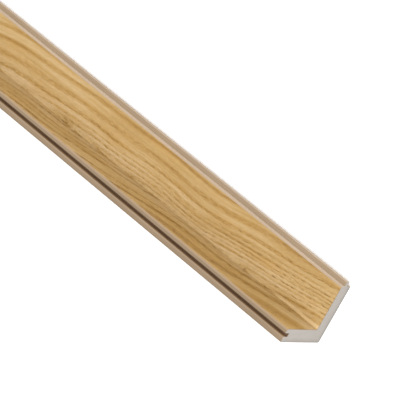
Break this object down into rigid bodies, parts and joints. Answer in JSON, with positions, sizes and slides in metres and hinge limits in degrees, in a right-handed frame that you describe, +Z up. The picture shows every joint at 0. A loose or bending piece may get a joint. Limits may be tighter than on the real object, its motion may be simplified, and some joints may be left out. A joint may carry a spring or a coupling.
{
  "type": "inside corner moulding",
  "caption": "L-section inside corner moulding of fibreboard with oak-pattern foil on its inner faces, a groove along one edge and a tongue along the other.",
  "frame": {"origin": "under the middle of the overall box, on the floor that the flat leg lies on", "axes": "+Y along the stock, +Z up along the standing leg, +X across the flat leg towards its tongue"},
  "size_m": [0.0562, 2.44, 0.052],
  "materials": {
    "fibreboard": "bare milled fibreboard, tan on the machined edges and pale grey on the sawn ends",
    "oak_foil": "satin oak-pattern foil, honey coloured, with flat-sawn figure and short dark pores"
  },
  "bodies": {
    "root": {"core_profile": "fibreboard", "oak_foil": "oak_foil"}
  },
  "joints": []
}
